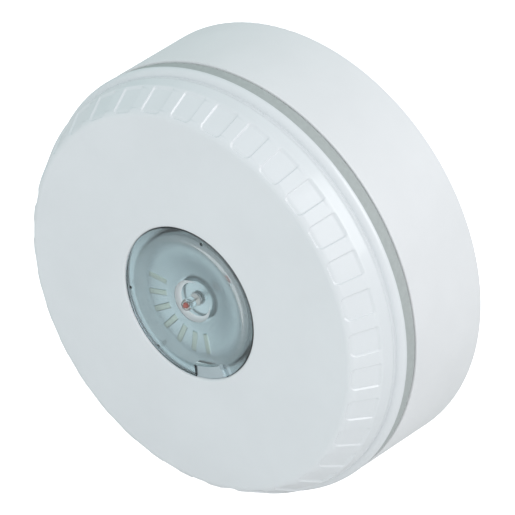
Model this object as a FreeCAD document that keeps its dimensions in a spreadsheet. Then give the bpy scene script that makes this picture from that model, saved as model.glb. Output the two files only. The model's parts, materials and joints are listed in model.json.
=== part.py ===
import math
import os
import re

import FreeCAD
import Part
import Sketcher
from FreeCAD import Placement, Rotation, Vector

# Round visual alarm beacon: a twist-on head over a deep wall box.
#
# Every piece is drawn in the same drawing frame: x to the right, y up and z out of the wall,
# with the wall at z = 0 and the middle of the mounting face at the origin. TURN then stands the
# drawing up, so that the finished part has +Z up and its lens faces -Y.
# Angles are in degrees, anticlockwise from the right as seen from the front.

TURN = Placement(Vector(0, 0, 0), Rotation(Vector(1, 0, 0), 90))
SHEET = "Dims"

SIZES = {
    # outer form
    "face_height": 38.0,
    "box_height": 22.3,
    "band_height": 25.7,
    "cap_radius": 50.0,
    "box_radius": 50.2,
    "box_lip_radius": 50.0,
    "band_radius": 49.6,
    "shell_wall": 2.4,
    "face_wall": 2.2,
    "floor_top": 3.0,
    "foot_recess": 0.8,
    "foot_radius": 46.0,
    # cap bevel, groove and bead
    "shoulder_start": 43.3,
    "shoulder_round": 2.2,
    "bevel_top": 45.24,
    "bevel_top_height": 36.85,
    "bevel_foot": 48.1,
    "bevel_foot_height": 31.5,
    "lip_radius": 48.5,
    "lip_height": 28.7,
    "groove_radius": 48.0,
    "groove_high": 28.1,
    "groove_low": 27.4,
    "bead_start": 48.4,
    "bead_round": 1.7,
    "cap_inner": 45.0,
    "cap_inner_round": 2.0,
    "pad_count": 34,
    "pad_phase": 8.45,
    "pad_angle": 6.6,
    "pad_inset": 0.264,
    "pad_drop": 0.144,
    "pad_run_out": 0.7,
    "pad_start": 44.3,
    "pad_start_floor": 37.35,
    # lens opening and lens
    "opening_radius": 17.9,
    "opening_round": 0.6,
    "lens_radius": 17.7,
    "tray_flange": 20.6,
    "tray_flange_low": 33.4,
    "tray_flange_high": 34.9,
    "lens_ring_height": 37.8,
    "lens_wall": 1.5,
    "dish_radius": 14.5,
    "dish_rise": 0.3,
    "dish_bank": 0.9,
    "dish_curve": 62.0,
    "cup_radius": 4.8,
    "cup_height": 36.6,
    "cup_floor": 35.5,
    "cup_floor_radius": 3.7,
    "cup_outside": 5.4,
    "peg_ring": 16.6,
    "peg_radius": 0.5,
    "peg_length": 0.9,
    "dimple_depth": 0.5,
    "key_angle": 290.0,
    "key_span": 28.0,
    "key_inner": 15.0,
    "key_gap": 0.15,
    "key_high": 37.4,
    # lamp
    "led_radius": 1.3,
    "led_centre": 38.3,
    "led_bore": 0.52,
    "led_flange": 2.0,
    "led_seat": 31.8,
    "led_hole": 1.45,
    "die_half": 0.35,
    "wire_ring": 16.5,
    "wire_radius": 0.4,
    "wire_bend": 1.5,
    "wire_lift": 0.55,
    "board_wall": 1.6,
    "led_board_wall": 1.2,
    "led_board_radius": 14.0,
    "spreader_radius": 14.8,
    "spreader_wall": 2.0,
    "reflector_radius": 17.6,
    "reflector_height": 35.8,
    "reflector_bank": 0.4,
    "reflector_bowl": 15.0,
    "reflector_curve": 41.5,
    "reflector_cup": 5.8,
    "reflector_floor": 33.7,
    "reflector_wall": 0.6,
    "reflector_hole": 1.6,
    "rib_first": 170.0,
    "rib_pitch": 20.0,
    "rib_count": 7,
    "rib_span": 8.5,
    "rib_inner": 8.2,
    "rib_outer": 12.8,
    "rib_inner_drop": 1.0,
    "rib_outer_drop": 0.28,
    "pillar_ring": 11.0,
    "pillar_radius": 2.2,
    # head inside
    "main_board_low": 24.0,
    "main_board_radius": 41.5,
    "chassis_low": 18.8,
    "chassis_wall": 1.8,
    "skirt_outer": 44.7,
    "skirt_wall": 2.0,
    "skirt_low": 14.6,
    "skirt_high": 26.0,
    "boss_angle": 55.0,
    "boss_ring": 37.0,
    "boss_radius": 3.0,
    "screw_core": 1.4,
    "screw_head": 2.7,
    "screw_gap": 0.05,
    "post_ring": 28.0,
    "post_radius": 2.5,
    "post_pilot": 1.1,
    "seat_depth": 1.0,
    "screw_reach": 9.0,
    "contact_ring": 33.2,
    "contact_wall": 0.4,
    "can_ring": 32.0,
    "can_radius": 4.0,
    "can_height": 7.0,
    "coil_x": -30.0,
    "coil_half": 4.0,
    "coil_height": 4.0,
    "coil_window": 2.7,
    "driver_x": 28.5,
    "driver_half": 2.5,
    "driver_half_length": 3.2,
    "driver_leg": 1.2,
    "driver_pitch": 1.27,
    "chip_ring": 22.0,
    "retainer_ring": 22.8,
    "retainer_inner": 17.6,
    "retainer_outer": 25.4,
    "retainer_wall": 1.5,
    # bayonet
    "lug_angle": 30.0,
    "lug_span": 16.0,
    "lug_outer": 46.9,
    "lug_high": 16.8,
    "twist_angle": 22.0,
    "ledge_span": 18.0,
    "ledge_inner": 45.2,
    "ledge_low": 17.0,
    "ledge_wall": 2.0,
    # sprung catch
    "catch_angle": 138.5,
    "catch_ring": 46.2,
    "catch_low": 6.0,
    "catch_high": 14.3,
    "catch_depth": 2.4,
    "catch_width": 3.0,
    "guide_gap": 0.1,
    "guide_wall": 1.3,
    "guide_high": 13.0,
    "tool_low": 9.0,
    "tool_high": 10.6,
    "spring_wire": 0.28,
    "spring_ring": 1.1,
    # terminals
    "plate_low": 5.0,
    "plate_wall": 2.0,
    "plate_half_width": 24.0,
    "plate_bottom": -36.0,
    "plate_top": -10.5,
    "plate_corner": 4.0,
    "screw_x": 20.5,
    "screw_low_y": -30.0,
    "screw_high_y": -15.5,
    "screw_post": 3.2,
    "recess_arm": 1.6,
    "recess_half": 0.35,
    "block_half_width": 17.0,
    "block_bottom": -33.0,
    "block_top": -20.0,
    "block_high": 16.4,
    "way_pitch": 8.0,
    "way_y": -26.0,
    "clamp_width": 4.4,
    "clamp_depth": 6.0,
    "clamp_wall": 0.8,
    "clamp_low": 7.6,
    "clamp_high": 13.1,
    "way_gap": 0.2,
    "thread_radius": 1.45,
    "bar_low": 10.6,
    "bar_wall": 0.6,
    "bar_width": 3.0,
    "tip_low": 11.3,
    "spring_high": 17.8,
    "terminal_head_low": 14.8,
    "terminal_head_high": 16.0,
    "terminal_head": 2.3,
    # fixings and cable entries
    "slot_centre": 27.5,
    "slot_radius": 2.1,
    "slot_length": 14.2,
    "hole_centre": 40.0,
    "entry_radius": 10.2,
    "entry_seat": 13.0,
    "grommet_bore": 3.0,
    "knockout_radius": 8.0,
    "knockout_height": 11.6,
    "knockout_groove": 0.7,
    "knockout_wall": 1.0,
    # address switch
    "dip_y": 21.5,
    "dip_half_width": 7.2,
    "dip_half_depth": 3.1,
    "dip_low": 19.3,
    "dip_pitch": 2.54,
    "dip_lever": 1.1,
    "dip_travel": 1.2,
    "dip_lever_low": 18.5,
}

doc = FreeCAD.newDocument("beacon")
sheet = doc.addObject("Spreadsheet::Sheet", SHEET)
for row, (alias, size) in enumerate(SIZES.items(), start=1):
    sheet.set(f"A{row}", alias)
    sheet.set(f"B{row}", str(size))
    sheet.setAlias(f"B{row}", alias)
doc.recompute()

pieces = []


# ---------------------------------------------------------------- helpers

def link(formula):
    """Turn a formula of aliases into an expression that reads them from the sheet."""
    names = re.findall(r"[a-z][a-z_]+", str(formula))
    text = str(formula)
    for name in sorted(set(names), key=len, reverse=True):
        if name in SIZES:
            text = re.sub(rf"(?<![\w.]){name}(?!\w)", f"{SHEET}.{name}", text)
    return text


def number(formula):
    """The value of a formula of aliases, in millimetres or degrees."""
    value = sheet.evalExpression(link(formula))
    return float(getattr(value, "Value", value))


def bind(thing, target, formula):
    """Let a formula of aliases drive one property of a thing."""
    thing.setExpression(target, link(formula))


def new_piece(label):
    body = doc.addObject("PartDesign::Body", label)
    body.Label = label
    body.AllowCompound = True
    body.Placement = TURN
    pieces.append(body)
    return body


def origin_item(body, role):
    return [item for item in body.Origin.OriginFeatures if item.Role == role][0]


def new_sketch(body, name, role, lift="0", turn="0"):
    """A sketch on an origin plane, lifted along its normal or turned about the z axis."""
    sketch = body.newObject("Sketcher::SketchObject", name)
    sketch.AttachmentSupport = [(origin_item(body, role), "")]
    sketch.MapMode = "FlatFace"
    axis = Vector(0, 0, 1) if role == "XY_Plane" else Vector(0, 1, 0)
    sketch.AttachmentOffset = Placement(Vector(0, 0, number(lift)), Rotation(axis, number(turn)))
    bind(sketch, "AttachmentOffset.Base.z", lift)
    bind(sketch, "AttachmentOffset.Rotation.Angle", turn)
    return sketch


def pin_point(sketch, geometry, end, x, y):
    """Hold one point of a sketch shape at the place that two formulas give."""
    for kind, axis, formula in (("DistanceX", -2, x), ("DistanceY", -1, y)):
        value = number(formula)
        if abs(value) < 1e-9:
            sketch.addConstraint(Sketcher.Constraint("PointOnObject", geometry, end, axis))
            continue
        index = sketch.addConstraint(Sketcher.Constraint(kind, -1, 1, geometry, end, value))
        bind(sketch, f"Constraints[{index}]", formula)


def arc_between(start, finish, radius, turn):
    """A round stretch between two points; turn is 1 for anticlockwise and -1 for clockwise."""
    chord = finish - start
    half = chord.Length / 2
    side = Vector(-chord.y, chord.x, 0).normalize() * turn
    centre = start + chord * 0.5 + side * math.sqrt(max(radius * radius - half * half, 0))
    middle = centre - side * radius
    if turn > 0:
        return Part.Arc(start, middle, finish)
    return Part.Arc(finish, middle, start)


def outline(sketch, points):
    """A closed outline. A point is (x, y), or (x, y, radius, turn) when reached along an arc."""
    places = [Vector(number(point[0]), number(point[1]), 0) for point in points]
    ends = []
    for index, point in enumerate(points):
        start = places[index - 1]
        finish = places[index]
        if len(point) == 4:
            radius = number(point[2])
            geometry = sketch.addGeometry(arc_between(start, finish, radius, point[3]), False)
            limit = sketch.addConstraint(Sketcher.Constraint("Radius", geometry, radius))
            bind(sketch, f"Constraints[{limit}]", point[2])
            first, last = (1, 2) if point[3] > 0 else (2, 1)
        else:
            geometry = sketch.addGeometry(Part.LineSegment(start, finish), False)
            first, last = 1, 2
        ends.append((geometry, first, last))
    for index, (geometry, first, last) in enumerate(ends):
        before = ends[index - 1]
        sketch.addConstraint(Sketcher.Constraint("Coincident", before[0], before[2], geometry, first))
        pin_point(sketch, geometry, last, points[index][0], points[index][1])


def circle(sketch, x, y, radius):
    centre = Vector(number(x), number(y), 0)
    shape = Part.Circle(centre, Vector(0, 0, 1), number(radius))
    geometry = sketch.addGeometry(shape, False)
    pin_point(sketch, geometry, 3, x, y)
    index = sketch.addConstraint(Sketcher.Constraint("Radius", geometry, number(radius)))
    bind(sketch, f"Constraints[{index}]", radius)


def box_outline(x_low, x_high, y_low, y_high):
    return [(x_low, y_low), (x_high, y_low), (x_high, y_high), (x_low, y_high)]


def slot(x, half_straight, radius):
    """A round-ended slot along x, centred on (x, 0)."""
    def draw(sketch):
        reach = number(radius)
        ends = []
        for sign, first in (("+", -math.pi / 2), ("-", math.pi / 2)):
            formula = f"{x} {sign} {half_straight}"
            rim = Part.Circle(Vector(number(formula), 0, 0), Vector(0, 0, 1), reach)
            arc = sketch.addGeometry(Part.ArcOfCircle(rim, first, first + math.pi), False)
            pin_point(sketch, arc, 3, formula, "0")
            index = sketch.addConstraint(Sketcher.Constraint("Radius", arc, reach))
            bind(sketch, f"Constraints[{index}]", radius)
            sketch.addConstraint(Sketcher.Constraint("Vertical", arc, 1, arc, 3))
            sketch.addConstraint(Sketcher.Constraint("Vertical", arc, 2, arc, 3))
            ends.append((arc, Vector(number(formula), reach, 0)))
        (right, right_top), (left, left_top) = ends
        flip = Vector(0, -2 * reach, 0)
        upper = sketch.addGeometry(Part.LineSegment(right_top, left_top), False)
        lower = sketch.addGeometry(Part.LineSegment(left_top + flip, right_top + flip), False)
        for line, before, after in ((upper, (right, 2), (left, 1)), (lower, (left, 2), (right, 1))):
            sketch.addConstraint(Sketcher.Constraint("Coincident", line, 1, *before))
            sketch.addConstraint(Sketcher.Constraint("Coincident", line, 2, *after))
    return draw


def finish_feature(body, feature):
    body.Tip = feature
    doc.recompute()
    return feature


def turned(body, name, points, span="360", at="0", cut=False):
    """Material (or a cut) turned about the z axis; a part turn is centred on the angle at."""
    sketch = new_sketch(body, f"{name}_section", "XZ_Plane", turn=at)
    outline(sketch, points)
    kind = "PartDesign::Groove" if cut else "PartDesign::Revolution"
    feature = body.newObject(kind, name)
    feature.Profile = sketch
    feature.ReferenceAxis = (sketch, ["V_Axis"])
    feature.Midplane = True
    bind(feature, "Angle", span)
    return finish_feature(body, feature)


def raised(body, name, draw, low, high, turn="0"):
    """Material between two heights, with the section that draw puts in the sketch."""
    sketch = new_sketch(body, f"{name}_section", "XY_Plane", lift=low, turn=turn)
    draw(sketch)
    feature = body.newObject("PartDesign::Pad", name)
    feature.Profile = sketch
    bind(feature, "Length", f"({high}) - ({low})")
    return finish_feature(body, feature)


def sunk(body, name, draw, low, high, turn="0"):
    """A cut between two heights; it has to take material away."""
    before = body.Shape.Volume
    sketch = new_sketch(body, f"{name}_section", "XY_Plane", lift=high, turn=turn)
    draw(sketch)
    feature = body.newObject("PartDesign::Pocket", name)
    feature.Profile = sketch
    bind(feature, "Length", f"({high}) - ({low})")
    finish_feature(body, feature)
    if body.Shape.Volume >= before:
        raise RuntimeError(f"{body.Label}: {name} cuts nothing")
    return feature


def around(body, name, features, count, span="360"):
    """Repeat features about the z axis."""
    feature = body.newObject("PartDesign::PolarPattern", name)
    feature.Originals = features
    feature.Axis = (origin_item(body, "Z_Axis"), [""])
    bind(feature, "Angle", span)
    bind(feature, "Occurrences", count)
    return finish_feature(body, feature)


def disc(x, y, radius):
    return lambda sketch: circle(sketch, x, y, radius)


def ring(x, y, outer, inner):
    def draw(sketch):
        circle(sketch, x, y, outer)
        circle(sketch, x, y, inner)
    return draw


def block(x_low, x_high, y_low, y_high):
    return lambda sketch: outline(sketch, box_outline(x_low, x_high, y_low, y_high))


def polar_x(radius, angle):
    return f"({radius}) * cos(({angle}) * 1 deg)"


def polar_y(radius, angle):
    return f"({radius}) * sin(({angle}) * 1 deg)"


# ---------------------------------------------------------------- head shells

def front_cap():
    """White face shell with grip pads round its shoulder and a beaded rim."""
    body = new_piece("front_cap")
    turned(body, "shell", [
        ("opening_radius", "face_height - face_wall"),
        ("cap_inner - cap_inner_round", "face_height - face_wall"),
        ("cap_inner", "face_height - face_wall - cap_inner_round", "cap_inner_round", -1),
        ("cap_inner", "band_height"),
        ("cap_radius", "band_height"),
        ("cap_radius", "band_height + 0.2"),
        ("bead_start", "groove_low", "bead_round", 1),
        ("groove_radius", "groove_low + 0.1"),
        ("groove_radius", "groove_high"),
        ("lip_radius", "lip_height"),
        ("bevel_foot", "bevel_foot_height"),
        ("bevel_top", "bevel_top_height"),
        ("shoulder_start", "face_height", "shoulder_round", 1),
        ("opening_radius + opening_round", "face_height"),
        ("opening_radius", "face_height - opening_round", "opening_round", 1),
    ])
    boss = raised(body, "boss", disc("boss_ring", "0", "boss_radius"),
                  "chassis_low + chassis_wall", "face_height - face_wall + 0.1", turn="boss_angle")
    around(body, "bosses", [boss], "4")
    stud = raised(body, "stud", disc("retainer_ring", "0", "pillar_radius"),
                  "tray_flange_low", "face_height - face_wall + 0.1", turn="30")
    around(body, "studs", [stud], "3")
    pilot = sunk(body, "pilot", disc("boss_ring", "0", "screw_core + screw_gap"),
                 "chassis_low + chassis_wall", "chassis_low + chassis_wall + screw_reach + 2",
                 turn="boss_angle")
    around(body, "pilots", [pilot], "4")
    small_pilot = sunk(body, "small_pilot", disc("retainer_ring", "0", "screw_core / 2 + screw_gap"),
                       "tray_flange_low", "face_height - face_wall", turn="30")
    around(body, "small_pilots", [small_pilot], "3")
    pad = turned(body, "pad", [
        ("pad_start", "face_height + 0.5"),
        ("pad_start", "pad_start_floor"),
        ("bevel_top - pad_inset", "bevel_top_height - pad_drop"),
        ("bevel_foot - pad_inset", "bevel_foot_height - pad_drop"),
        ("bevel_foot + 0.3", "bevel_foot_height - pad_run_out"),
        ("bevel_foot + 1.5", "bevel_foot_height - pad_run_out"),
        ("bevel_foot + 1.5", "face_height + 0.5"),
    ], span="pad_angle", at="pad_phase", cut=True)
    around(body, "pads", [pad], "pad_count")


def head_chassis():
    """Rear moulding of the head: floor, skirt and three bayonet lugs."""
    body = new_piece("head_chassis")
    turned(body, "tray", [
        ("0", "chassis_low"),
        ("skirt_outer - skirt_wall", "chassis_low"),
        ("skirt_outer - skirt_wall", "skirt_low"),
        ("skirt_outer", "skirt_low"),
        ("skirt_outer", "skirt_high"),
        ("skirt_outer - skirt_wall", "skirt_high"),
        ("skirt_outer - skirt_wall", "chassis_low + chassis_wall"),
        ("0", "chassis_low + chassis_wall"),
    ])
    lug = turned(body, "lug", [
        ("skirt_outer - 1", "skirt_low"),
        ("lug_outer - 0.4", "skirt_low"),
        ("lug_outer", "skirt_low + 0.4"),
        ("lug_outer", "lug_high"),
        ("skirt_outer - 1", "lug_high"),
    ], span="lug_span", at="lug_angle")
    around(body, "lugs", [lug], "3")
    post = raised(body, "post", disc("post_ring", "0", "post_radius"),
                  "chassis_low + 0.5", "main_board_low", turn="90")
    around(body, "posts", [post], "3")
    pilot = sunk(body, "pilot", disc("post_ring", "0", "post_pilot"),
                 "chassis_low + chassis_wall", "main_board_low", turn="90")
    around(body, "pilots", [pilot], "3")
    bore = sunk(body, "bore", disc("boss_ring", "0", "screw_core + 0.1"),
                "chassis_low", "chassis_low + chassis_wall", turn="boss_angle")
    around(body, "bores", [bore], "4")
    seat = sunk(body, "seat", disc("boss_ring", "0", "screw_head + 0.4"),
                "chassis_low", "chassis_low + seat_depth", turn="boss_angle")
    around(body, "seats", [seat], "4")
    sunk(body, "dip_window",
         block("-dip_half_width - 0.3", "dip_half_width + 0.3",
               "dip_y - dip_half_depth - 0.3", "dip_y + dip_half_depth + 0.3"),
         "chassis_low", "chassis_low + chassis_wall")
    for way in range(4):
        sunk(body, f"contact_slot_{way + 1}",
             block("contact_ring - 1.1", "contact_ring + 1.1", "-0.45", "0.45"),
             "chassis_low", "chassis_low + chassis_wall", turn=contact_angle(way))


def way_x(way):
    """Where one of the four electrical ways lies along x."""
    return f"(({way} - 1.5) * way_pitch)"


def contact_angle(way):
    """Where a head contact sits before the twist that carries it onto its spring."""
    return f"270 + twist_angle + atan({way_x(way)} / contact_ring) / 1 deg"


# ---------------------------------------------------------------- lens and lamp

PEG_ANGLES = ("77.4", "187.5", "238.5")


def beacon_lens():
    """Clear lens: a flat ring with three pegs, a shallow dish and a cup with a hole for the lamp."""
    body = new_piece("beacon_lens")
    ring_low = "lens_ring_height - lens_wall"
    turned(body, "lens", [
        ("lens_radius", ring_low),
        ("lens_radius", "lens_ring_height - 0.3"),
        ("lens_radius - 0.3", "lens_ring_height", "0.3", 1),
        ("dish_radius + dish_bank", "lens_ring_height"),
        ("dish_radius", "lens_ring_height + dish_rise"),
        ("cup_radius", "cup_height", "dish_curve", -1),
        ("cup_floor_radius", "cup_floor", "cup_height - cup_floor", -1),
        ("led_hole", "cup_floor"),
        ("led_hole", "cup_floor - lens_wall"),
        ("cup_outside", "cup_floor - lens_wall"),
        ("cup_outside", "cup_height - lens_wall - 0.2"),
        ("dish_radius - 0.5", ring_low, "dish_curve", 1),
    ])
    turned(body, "key_notch", [
        ("key_inner - key_gap", f"{ring_low} - 0.1"),
        ("lens_radius + 0.5", f"{ring_low} - 0.1"),
        ("lens_radius + 0.5", "face_height + 1"),
        ("key_inner - key_gap", "face_height + 1"),
    ], span="key_span + 3", at="key_angle", cut=True)
    for index, turn in enumerate(PEG_ANGLES):
        raised(body, f"peg_{index + 1}", disc("peg_ring", "0", "peg_radius"),
               f"{ring_low} - peg_length", ring_low, turn=turn)
        sunk(body, f"dimple_{index + 1}", disc("peg_ring", "0", "peg_radius - 0.1"),
             "lens_ring_height - dimple_depth", "lens_ring_height", turn=turn)


def lens_seal():
    """Flat silicone ring between the tray's flange and the inside of the cap."""
    body = new_piece("lens_seal")
    raised(body, "ring", ring("0", "0", "tray_flange - 0.2", "opening_radius + 0.3"),
           "tray_flange_high", "face_height - face_wall")


def lens_retainer():
    """Ring that presses the lens flange forwards, held by three small screws."""
    body = new_piece("lens_retainer")
    raised(body, "ring", ring("0", "0", "retainer_outer", "retainer_inner"),
           "tray_flange_low - retainer_wall", "tray_flange_low")
    bore = sunk(body, "bore", disc("retainer_ring", "0", "screw_core / 2 + 0.1"),
                "tray_flange_low - retainer_wall", "tray_flange_low", turn="30")
    around(body, "bores", [bore], "3")


def reflector():
    """Silvered tray that carries the lens: a clamped flange, a bowl with seven ribs and a cup."""
    body = new_piece("reflector")
    turned(body, "tray", [
        ("reflector_hole", "reflector_floor - reflector_wall"),
        ("reflector_cup", "reflector_floor - reflector_wall"),
        ("reflector_cup", "led_seat"),
        ("reflector_cup + 2", "led_seat"),
        ("reflector_cup + 2", "reflector_floor - reflector_wall"),
        ("reflector_bowl", "reflector_height - 1.4"),
        ("reflector_bowl + 1.2", "tray_flange_low"),
        ("tray_flange", "tray_flange_low"),
        ("tray_flange", "tray_flange_high"),
        ("reflector_radius", "tray_flange_high"),
        ("reflector_radius", "reflector_height + reflector_bank"),
        ("reflector_bowl", "reflector_height"),
        ("reflector_cup + 0.3", "reflector_height - 1.5", "reflector_curve", -1),
        ("reflector_cup", "reflector_floor"),
        ("reflector_hole", "reflector_floor"),
    ])
    turned(body, "key", [
        ("key_inner", "reflector_height - 0.2"),
        ("reflector_radius", "reflector_height - 0.2"),
        ("reflector_radius", "key_high"),
        ("key_inner", "key_high"),
    ], span="key_span", at="key_angle")
    rib = turned(body, "rib", [
        ("rib_inner", "reflector_height - 1.7"),
        ("rib_outer", "reflector_height - 1.0"),
        ("rib_outer", "reflector_height - rib_outer_drop"),
        ("rib_inner", "reflector_height - rib_inner_drop", "reflector_curve", -1),
    ], span="rib_span", at="rib_first")
    around(body, "ribs", [rib], "rib_count", "rib_pitch * (rib_count - 1)")
    for index, turn in enumerate(PEG_ANGLES):
        sunk(body, f"peg_hole_{index + 1}", disc("peg_ring", "0", "peg_radius + 0.05"),
             "lens_ring_height - lens_wall - peg_length - 0.1", "face_height", turn=turn)


def led_body():
    """Clear lamp body with a round nose, hollow along its middle for the lead frame."""
    body = new_piece("led_body")
    turned(body, "lamp", [
        ("led_bore", "led_seat + 0.05"),
        ("led_flange", "led_seat + 0.05"),
        ("led_flange", "led_seat + 1"),
        ("led_radius", "led_seat + 1"),
        ("led_radius", "led_centre"),
        ("0", "led_centre + led_radius", "led_radius", 1),
        ("0", "led_centre + 0.65"),
        ("led_bore", "led_centre + 0.65"),
    ])


def led_leadframe():
    """Thin metal post that carries the lamp's die."""
    body = new_piece("led_leadframe")
    raised(body, "post", disc("0", "0", "led_bore - 0.03"),
           "led_seat - led_board_wall", "led_centre + 0.1")


def led_die():
    """Small square red emitter on top of the lead frame."""
    body = new_piece("led_die")
    raised(body, "die", block("-die_half", "die_half", "-die_half", "die_half"),
           "led_centre + 0.12", "led_centre + 0.6")


def led_board():
    """Round lamp board, its middle drilled for the lead frame."""
    body = new_piece("led_board")
    raised(body, "board", ring("0", "0", "led_board_radius", "led_bore + 0.1"),
           "led_seat - led_board_wall", "led_seat")


def heat_spreader():
    """Aluminium disc under the lamp board."""
    body = new_piece("heat_spreader")
    raised(body, "disc", disc("0", "0", "spreader_radius"),
           "led_seat - led_board_wall - spreader_wall", "led_seat - led_board_wall")


def spreader_pillars():
    """Three spacers that hold the spreader off the main board."""
    body = new_piece("spreader_pillars")
    pillar = raised(body, "pillar", disc("pillar_ring", "0", "pillar_radius"),
                    "main_board_low + board_wall", "led_seat - led_board_wall - spreader_wall")
    around(body, "pillars", [pillar], "3")


def led_wires():
    """Pair of insulated wires from the lamp board down to the main board."""
    body = new_piece("led_wires")
    for index, turn in enumerate(("150", "210")):
        path = new_sketch(body, f"path_{index + 1}", "XZ_Plane", turn=turn)
        corner = Vector(number("wire_ring - wire_bend"), number("led_seat + wire_lift"), 0)
        over = Vector(number("wire_ring"), number("led_seat + wire_lift - wire_bend"), 0)
        foot = Vector(number("wire_ring"), number("main_board_low + board_wall"), 0)
        start = Vector(number("wire_ring - 4"), corner.y, 0)
        path.addGeometry(Part.LineSegment(start, corner), False)
        path.addGeometry(arc_between(corner, over, number("wire_bend"), -1), False)
        path.addGeometry(Part.LineSegment(over, foot), False)
        section = new_sketch(body, f"section_{index + 1}", "XY_Plane",
                             lift="main_board_low + board_wall", turn=turn)
        circle(section, "wire_ring", "0", "wire_radius")
        pipe = body.newObject("PartDesign::AdditivePipe", f"wire_{index + 1}")
        pipe.Profile = section
        pipe.Spine = (path, ["Edge3", "Edge2", "Edge1"])
        finish_feature(body, pipe)


# ---------------------------------------------------------------- head electronics

BOARD_TOP = "main_board_low + board_wall"


def main_board():
    """Round main board with clearance for the cap's bosses and holes for its screws."""
    body = new_piece("main_board")
    raised(body, "board", disc("0", "0", "main_board_radius"), "main_board_low", BOARD_TOP)
    gap = sunk(body, "boss_gap", disc("boss_ring", "0", "boss_radius + 0.4"),
               "main_board_low", BOARD_TOP, turn="boss_angle")
    around(body, "boss_gaps", [gap], "4")
    hole = sunk(body, "screw_hole", disc("post_ring", "0", "post_pilot + 0.15"),
                "main_board_low", BOARD_TOP, turn="90")
    around(body, "screw_holes", [hole], "3")
    for way in range(4):
        sunk(body, f"contact_hole_{way + 1}",
             block("contact_ring - 1.1", "contact_ring + 1.1", "-0.45", "0.45"),
             "main_board_low", BOARD_TOP, turn=contact_angle(way))


def capacitors():
    """Two round storage capacitors, each with a crimped waist."""
    body = new_piece("capacitors")
    for index, angle in enumerate(("75", "105")):
        raised(body, f"can_{index + 1}", disc("can_ring", "0", "can_radius"),
               BOARD_TOP, f"{BOARD_TOP} + can_height", turn=angle)
        sunk(body, f"waist_{index + 1}", ring("can_ring", "0", "can_radius + 0.2", "can_radius - 0.25"),
             f"{BOARD_TOP} + 1.4", f"{BOARD_TOP} + 2.1", turn=angle)


def inductor():
    """Shielded square inductor for the lamp driver."""
    body = new_piece("inductor")
    top = f"{BOARD_TOP} + coil_height"
    raised(body, "shield", block("coil_x - coil_half", "coil_x + coil_half", "-coil_half", "coil_half"),
           BOARD_TOP, top)
    sunk(body, "window", disc("coil_x", "0", "coil_window"), f"{top} - 0.6", top)


def driver_chip():
    """Lamp driver: a flat black package with two rows of legs."""
    body = new_piece("driver_chip")
    low_x = "driver_x - driver_half"
    high_x = "driver_x + driver_half"
    raised(body, "package", block(low_x, high_x, "-driver_half_length", "driver_half_length"),
           f"{BOARD_TOP} + 0.1", f"{BOARD_TOP} + board_wall")
    for leg in range(5):
        offset = f"({leg} - 2) * driver_pitch"
        raised(body, f"legs_{leg + 1}",
               block(f"{low_x} - driver_leg", f"{high_x} + driver_leg",
                     f"{offset} - 0.2", f"{offset} + 0.2"),
               BOARD_TOP, f"{BOARD_TOP} + 0.25")


def chip_parts():
    """Small resistors and capacitors on the front of the main board."""
    body = new_piece("chip_parts")
    for index, angle in enumerate(("20", "38", "142", "160", "200", "222", "318", "340")):
        raised(body, f"chip_{index + 1}", block("chip_ring - 1", "chip_ring + 1", "-0.6", "0.6"),
               BOARD_TOP, f"{BOARD_TOP} + 0.7", turn=angle)


def dip_switch():
    """Five-way setting switch behind the head, reached when the head is off its box."""
    body = new_piece("dip_switch")
    raised(body, "case", block("-dip_half_width", "dip_half_width",
                               "dip_y - dip_half_depth", "dip_y + dip_half_depth"),
           "dip_low", "main_board_low")
    for way in range(5):
        x = dip_x(way)
        sunk(body, f"track_{way + 1}",
             block(f"{x} - dip_lever / 2 - 0.1", f"{x} + dip_lever / 2 + 0.1",
                   "dip_y - dip_lever / 2 - dip_travel / 2 - 0.1",
                   "dip_y + dip_lever / 2 + dip_travel / 2 + 0.1"),
             "dip_low", "dip_low + 1")


def dip_x(way):
    """Where one of the five switch ways lies along x."""
    return f"(({way} - 2) * dip_pitch)"


def dip_levers():
    """One small sliding lever for each way, all drawn at the off end of their tracks."""
    for way in range(5):
        body = new_piece(f"dip_lever_{way + 1}")
        x = dip_x(way)
        raised(body, "lever",
               block(f"{x} - dip_lever / 2", f"{x} + dip_lever / 2",
                     "dip_y - dip_travel / 2 - dip_lever / 2",
                     "dip_y - dip_travel / 2 + dip_lever / 2"),
               "dip_lever_low", "dip_low + 0.95")


def head_contacts():
    """Four plated contacts under the head, each with a tail up to the main board."""
    body = new_piece("head_contacts")
    for way in range(4):
        turn = contact_angle(way)
        raised(body, f"pad_{way + 1}",
               block("contact_ring - 2.2", "contact_ring + 2.2", "-2.2", "2.2"),
               "chassis_low - contact_wall", "chassis_low", turn=turn)
        raised(body, f"tail_{way + 1}",
               block("contact_ring - 1", "contact_ring + 1", "-0.35", "0.35"),
               "chassis_low - contact_wall / 2", f"{BOARD_TOP} + 0.6", turn=turn)


# ---------------------------------------------------------------- fasteners

def cross_recess(body, name, place, low, high, arm, width, turn):
    """A cross-shaped driver recess, cut as two crossing slots."""
    across = sunk(body, f"{name}_across",
                  block(f"{place} - {arm}", f"{place} + {arm}", f"-{width}", f"{width}"),
                  low, high, turn=turn)
    along = sunk(body, f"{name}_along",
                 block(f"{place} - {width}", f"{place} + {width}", f"-{arm}", f"{arm}"),
                 low, high, turn=turn)
    return [across, along]


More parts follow.
